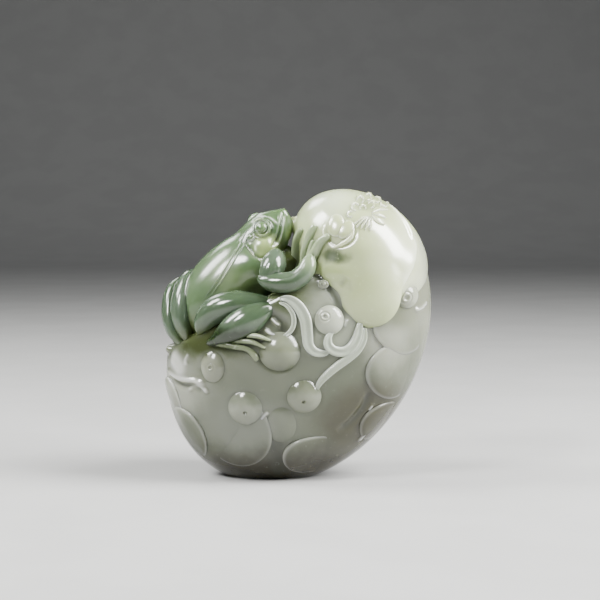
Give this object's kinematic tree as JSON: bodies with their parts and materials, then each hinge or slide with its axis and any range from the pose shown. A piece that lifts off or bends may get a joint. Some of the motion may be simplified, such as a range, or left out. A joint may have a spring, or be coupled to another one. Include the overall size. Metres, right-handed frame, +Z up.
{
  "type": "jade figurine",
  "caption": "Rounded palm-sized stone carving: a frog climbing a lotus pod towards a domed leaf, with relief leaves, tendrils and pitted seeds.",
  "frame": {"origin": "middle of the flat foot under the pod, on the floor plane", "axes": "+Z up, -Y out of the carved face, +X towards the leaf dome as seen from the carved face"},
  "size_m": [0.0574, 0.0347, 0.0598],
  "materials": {
    "pale_jade": "polished translucent nephrite, pale celadon",
    "yellow_jade": "polished translucent nephrite, yellow-green",
    "white_jade": "polished translucent nephrite, whitish green",
    "green_jade": "polished translucent nephrite, leaf green"
  },
  "bodies": {
    "root": {"base_leaf_front": "pale_jade", "base_leaf_right": "pale_jade", "frog_head": "green_jade", "frog_left_arm": "green_jade", "frog_left_eye": "green_jade", "frog_left_shin": "green_jade", "frog_left_thigh": "green_jade", "frog_right_eardrum": "green_jade", "frog_right_eye": "green_jade", "frog_right_eyelid": "green_jade", "frog_right_fingers": "green_jade", "frog_right_folds": "green_jade", "frog_right_forearm": "green_jade", "frog_right_shin": "green_jade", "frog_right_thigh": "green_jade", "frog_right_toes": "green_jade", "frog_right_upper_arm": "green_jade", "frog_torso": "green_jade", "leaf_dome": "yellow_jade", "pod_body": "pale_jade", "rim_leaf_corner": "pale_jade", "rim_leaf_lower": "pale_jade", "rim_leaf_upper": "pale_jade", "seed_base": "pale_jade", "seed_left": "pale_jade", "seed_lower_left": "pale_jade", "seed_lower_right": "pale_jade", "seed_middle": "pale_jade", "seed_rim": "pale_jade", "seed_small": "pale_jade", "seed_under_toes": "pale_jade", "side_leaf": "pale_jade", "side_tongue": "pale_jade", "sprig_blossom": "yellow_jade", "sprig_bud": "yellow_jade", "sprig_curl": "yellow_jade", "sprig_stem": "yellow_jade", "tendril_hook": "white_jade", "tendril_long": "white_jade", "tendril_ring": "white_jade", "tendril_stem": "white_jade"}
  },
  "joints": []
}
